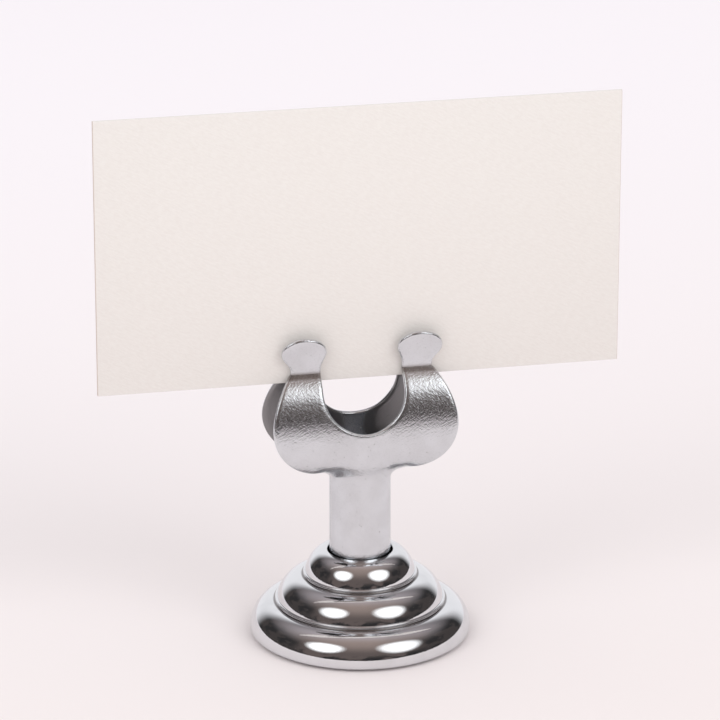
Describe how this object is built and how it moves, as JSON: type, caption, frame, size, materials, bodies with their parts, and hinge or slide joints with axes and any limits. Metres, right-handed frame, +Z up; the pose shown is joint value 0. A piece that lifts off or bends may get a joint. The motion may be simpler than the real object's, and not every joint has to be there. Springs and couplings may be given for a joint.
{
  "type": "place card holder",
  "caption": "Free-standing place card holder: a harp-shaped spring clip on a round stem and a stepped, weighted base grips the lower edge of a card.",
  "frame": {"origin": "middle of the foot pad's underside, on the table", "axes": "+Z up the stem, +X along the card's width, -Y towards the front of the card"},
  "size_m": [0.09, 0.038, 0.0944],
  "materials": {
    "base_plating": "mirror polished plating",
    "clip_plating": "satin plating over a fine grain",
    "plain_steel": "plain",
    "weight_iron": "as cast",
    "pad_foam": "matt",
    "card_stock": "uncoated felt-marked cotton stock"
  },
  "bodies": {
    "base": {"base_shell": "base_plating", "foot_pad": "pad_foam", "weight": "weight_iron", "stem_core": "plain_steel", "base_screw": "plain_steel", "lock_washer": "plain_steel", "retaining_collar": "plain_steel"},
    "front_jaw": {"front_clip": "clip_plating"},
    "rear_jaw": {"rear_clip": "clip_plating"},
    "card": {"place_card": "card_stock"}
  },
  "joints": [
    {"name": "front_jaw_flex", "type": "hinge", "parent": "base", "child": "front_jaw", "pos_m": [0, -0.00525, 0.0069], "axis": [1, 0, 0], "range_deg": [0, 1.5], "stiffness_Nm_per_rad": 0.5, "springref_deg": -2.86},
    {"name": "rear_jaw_flex", "type": "hinge", "parent": "base", "child": "rear_jaw", "pos_m": [0, 0.00525, 0.0069], "axis": [-1, 0, 0], "range_deg": [0, 1.5], "stiffness_Nm_per_rad": 0.5, "springref_deg": -2.86},
    {"name": "card_slide", "type": "slide", "parent": "base", "child": "card", "axis": [0, 0, 1], "range_m": [0, 0.02]}
  ]
}
